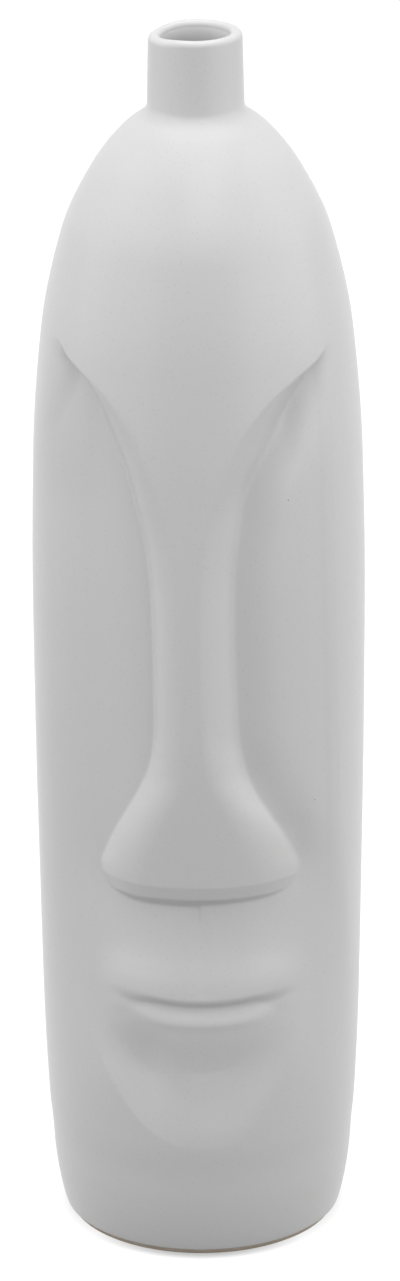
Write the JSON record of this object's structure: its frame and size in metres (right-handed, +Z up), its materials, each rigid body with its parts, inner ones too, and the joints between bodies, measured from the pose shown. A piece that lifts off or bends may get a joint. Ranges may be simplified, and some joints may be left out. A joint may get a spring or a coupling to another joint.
{
  "type": "face vase",
  "caption": "Tall round vase with a domed shoulder, a narrow straight neck and a plain long face in relief on its front; holds a few stems.",
  "frame": {"origin": "middle of the flat base, on the ground and on the body's axis", "axes": "+Z up the body's axis to the mouth; -Y out of the face; +X to a viewer's right when the face looks at them"},
  "size_m": [0.1064, 0.1064, 0.4],
  "materials": {
    "bare_clay": "matt, tan, unglazed",
    "white_glaze": "satin, white",
    "inside_glaze": "glossy, off-white"
  },
  "bodies": {
    "root": {"clay_body": "bare_clay", "outer_glaze": "white_glaze", "liner_glaze": "inside_glaze"}
  },
  "joints": []
}
